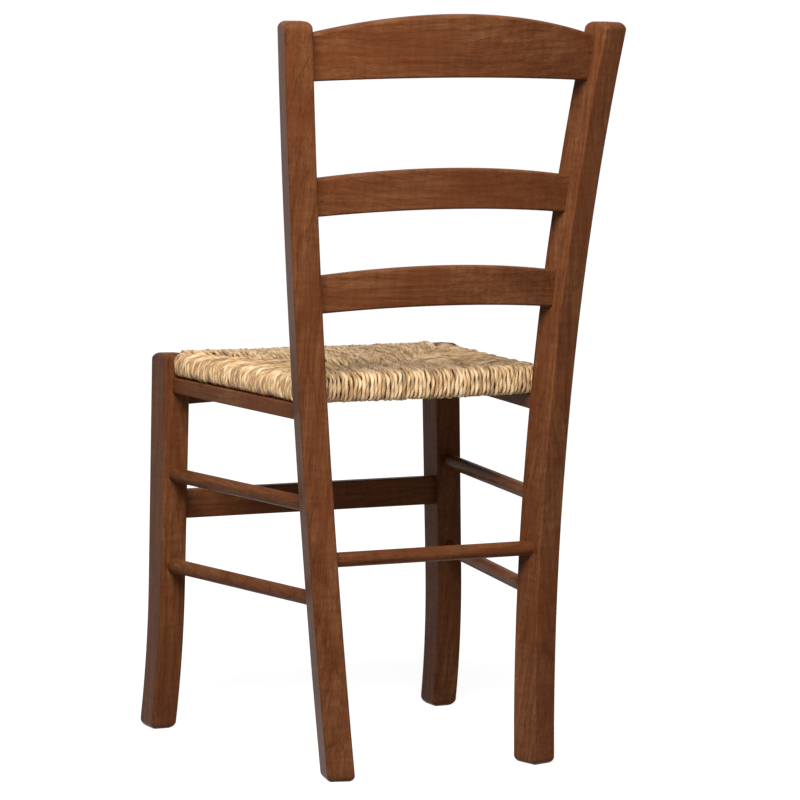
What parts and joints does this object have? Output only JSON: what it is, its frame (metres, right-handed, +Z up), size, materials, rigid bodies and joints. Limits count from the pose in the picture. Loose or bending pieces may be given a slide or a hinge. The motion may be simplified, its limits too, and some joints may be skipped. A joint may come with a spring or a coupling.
{
  "type": "ladderback chair",
  "caption": "Wooden ladderback dining chair with toed and splayed posts, bowed back slats, round rungs, a flat front stretcher and a woven rush seat.",
  "frame": {"origin": "on the floor, under the middle of the chair's bounding box", "axes": "+Z up, +X towards the sitter's left, +Y towards the chair's back"},
  "size_m": [0.4438, 0.4121, 0.8844],
  "materials": {
    "stained_beech": "satin lacquer over a reddish walnut stain",
    "plain_beech": "sawn, unfinished",
    "screw_steel": "zinc plated",
    "stuffing": "loose dry rush",
    "rush": "natural twisted rush, uncoated"
  },
  "bodies": {
    "root": {"rear_post_left": "stained_beech", "rear_post_right": "stained_beech", "front_leg_left": "stained_beech", "front_leg_right": "stained_beech", "top_slat": "stained_beech", "middle_slat": "stained_beech", "lower_slat": "stained_beech", "upper_side_rung_left": "stained_beech", "upper_side_rung_right": "stained_beech", "lower_side_rung_left": "stained_beech", "lower_side_rung_right": "stained_beech", "rear_rung": "stained_beech", "front_stretcher": "stained_beech", "front_apron": "stained_beech", "side_rail_left": "stained_beech", "side_rail_right": "stained_beech", "seat_bar_front": "plain_beech", "seat_bar_rear": "plain_beech", "seat_bar_left": "plain_beech", "seat_bar_right": "plain_beech", "seat_dowels": "plain_beech", "seat_screws": "screw_steel", "seat_stuffing": "stuffing", "rush_seat": "rush"}
  },
  "joints": []
}
